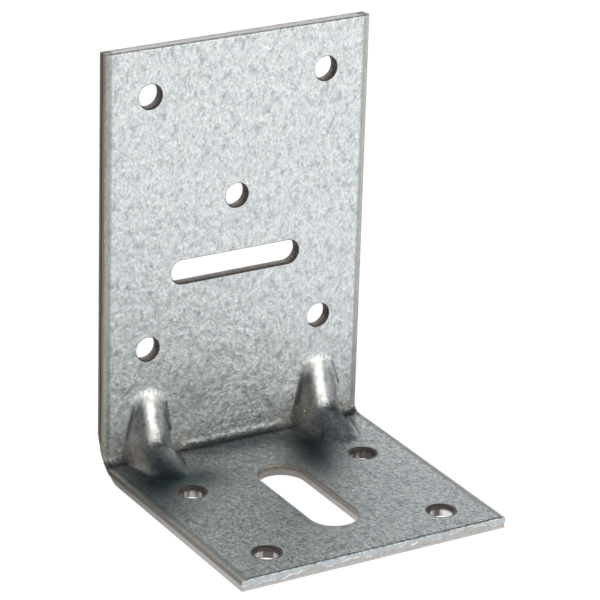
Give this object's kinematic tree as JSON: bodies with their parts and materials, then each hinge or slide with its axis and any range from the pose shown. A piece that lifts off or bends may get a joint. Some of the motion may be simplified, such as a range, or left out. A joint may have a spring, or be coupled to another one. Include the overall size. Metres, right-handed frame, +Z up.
{
  "type": "angle bracket",
  "caption": "Folded steel angle bracket with pressed corner ribs, screw holes in both legs, and an adjusting slot in each leg.",
  "frame": {"origin": "on the floor, under the middle of the bracket's outline", "axes": "+X along the fold, +Y from the foot leg's free edge to the upright leg's back face, +Z up the upright leg"},
  "size_m": [0.06, 0.06, 0.09],
  "materials": {
    "galvanised_steel": "galvanised sheet with a fine mottled spangle"
  },
  "bodies": {
    "root": {"bracket": "galvanised_steel"}
  },
  "joints": []
}
